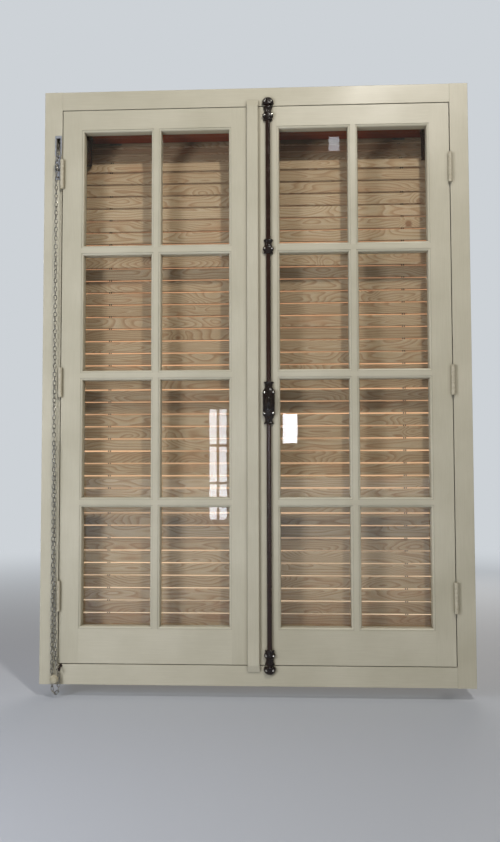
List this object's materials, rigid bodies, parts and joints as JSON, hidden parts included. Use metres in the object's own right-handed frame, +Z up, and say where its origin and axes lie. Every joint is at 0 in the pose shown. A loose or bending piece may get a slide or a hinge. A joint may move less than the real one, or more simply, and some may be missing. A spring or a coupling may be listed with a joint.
{
  "type": "casement window with slatted roller shutter",
  "caption": "Painted timber casement window with glazed leaves, a surface bolt and a slatted wooden roller shutter behind the glass, worked by a chain over a pulley.",
  "frame": {"origin": "middle of the frame's bottom face, at half the frame's depth", "axes": "+X to the right seen from the room, -Y into the room, +Z up"},
  "size_m": [1.33, 0.3104, 1.9121],
  "materials": {
    "frame_paint": "glossy cream alkyd paint over pine",
    "leaf_paint": "glossy cream alkyd paint over pine",
    "hinge_paint": "steel hinges painted over with the window's cream",
    "window_glass": "clear 3 mm sheet glass",
    "putty": "linseed putty, painted",
    "bolt_iron": "cast iron with dark brown-black enamel",
    "bolt_screw": "blackened round-head screws",
    "slat_wood": "weathered pine",
    "hook_steel": "dull steel",
    "box_paint": "red-brown paint on pine",
    "guide_steel": "painted steel channel",
    "drum_wood": "bare pine",
    "strap_web": "woven hemp strap",
    "gear_steel": "dull galvanised steel",
    "chain_steel": "galvanised wire links",
    "plate_paint": "steel plate painted over"
  },
  "bodies": {
    "window_frame": {"bolt_keepers": "bolt_iron", "box_front_board": "box_paint", "box_top_board": "box_paint", "chain_fittings": "plate_paint", "cheek_blocks": "box_paint", "drum_bearings": "gear_steel", "fixing_screws": "bolt_screw", "frame_head": "frame_paint", "frame_left_jamb": "frame_paint", "frame_right_jamb": "frame_paint", "frame_sill_rail": "frame_paint", "lambrequin_board": "box_paint", "left_hinge_frame_halves": "hinge_paint", "left_lining_board": "box_paint", "left_shutter_guide": "guide_steel", "operating_chain": "chain_steel", "pulley_pin": "gear_steel", "right_hinge_frame_halves": "hinge_paint", "right_lining_board": "box_paint", "right_shutter_guide": "guide_steel", "soffit_board": "box_paint"},
    "left_leaf": {"left_bottom_rail": "leaf_paint", "left_glass": "window_glass", "left_hinge_leaf_halves": "hinge_paint", "left_horizontal_bars": "leaf_paint", "left_inner_stile": "leaf_paint", "left_outer_stile": "leaf_paint", "left_putty": "putty", "left_top_rail": "leaf_paint", "left_vertical_bars": "leaf_paint"},
    "right_leaf": {"bolt_case": "bolt_iron", "bolt_guides": "bolt_iron", "bolt_screws": "bolt_screw", "cover_strip": "leaf_paint", "right_bottom_rail": "leaf_paint", "right_glass": "window_glass", "right_hinge_leaf_halves": "hinge_paint", "right_horizontal_bars": "leaf_paint", "right_inner_stile": "leaf_paint", "right_outer_stile": "leaf_paint", "right_putty": "putty", "right_top_rail": "leaf_paint", "right_vertical_bars": "leaf_paint"},
    "bolt_turner": {"bolt_knob": "bolt_iron", "bolt_pinion": "bolt_iron"},
    "upper_bolt_rod": {"upper_rod": "bolt_iron"},
    "lower_bolt_rod": {"lower_rod": "bolt_iron"},
    "curtain": {"shutter_bottom_bar": "slat_wood", "shutter_hooks": "hook_steel", "shutter_slats": "slat_wood"},
    "leaning_part": {"leaning_hooks": "hook_steel", "leaning_slats": "slat_wood", "strap_tails": "strap_web"},
    "drum": {"chain_reel": "gear_steel", "drum_shaft": "gear_steel", "drum_tube": "drum_wood", "strap_turns": "strap_web"},
    "guide_pulley": {"chain_pulley": "gear_steel"}
  },
  "joints": [
    {"name": "left_leaf_hinge", "type": "hinge", "parent": "window_frame", "child": "left_leaf", "pos_m": [-0.60675, -0.0374, 0.927], "axis": [0, 0, -1], "range_deg": [0, 110]},
    {"name": "right_leaf_hinge", "type": "hinge", "parent": "window_frame", "child": "right_leaf", "pos_m": [0.60675, -0.0374, 0.927], "axis": [0, 0, 1], "range_deg": [0, 160]},
    {"name": "upper_bolt_slide", "type": "slide", "parent": "right_leaf", "child": "upper_bolt_rod", "axis": [0, 0, -1], "range_m": [0, 0.0145]},
    {"name": "lower_bolt_slide", "type": "slide", "parent": "right_leaf", "child": "lower_bolt_rod", "axis": [0, 0, 1], "range_m": [0, 0.0145]},
    {"name": "bolt_turn", "type": "hinge", "parent": "right_leaf", "child": "bolt_turner", "pos_m": [0.044, -0.041, 0.862], "axis": [0, 1, 0], "range_deg": [0, 105]},
    {"name": "curtain_lift", "type": "slide", "parent": "window_frame", "child": "curtain", "axis": [0, 0, 1], "range_m": [0, 0.08]},
    {"name": "leaning_lift", "type": "slide", "parent": "window_frame", "child": "leaning_part", "axis": [0, 0.5736, 0.8192], "range_m": [0, 0.08]},
    {"name": "drum_turn", "type": "hinge", "parent": "window_frame", "child": "drum", "pos_m": [0, 0.12144, 1.815], "axis": [1, 0, 0], "range_deg": [0, 99.05]},
    {"name": "pulley_turn", "type": "hinge", "parent": "window_frame", "child": "guide_pulley", "pos_m": [-0.6205, -0.036, 1.612], "axis": [1, 0, 0], "range_deg": [0, 257.9]}
  ],
  "couplings": [
    {"joint": "lower_bolt_slide", "follows": "upper_bolt_slide", "ratio": 1},
    {"joint": "bolt_turn", "follows": "upper_bolt_slide", "rad_per_m": 125},
    {"joint": "leaning_lift", "follows": "curtain_lift", "ratio": 1},
    {"joint": "drum_turn", "follows": "curtain_lift", "rad_per_m": 21.39},
    {"joint": "pulley_turn", "follows": "curtain_lift", "rad_per_m": 55.615}
  ]
}
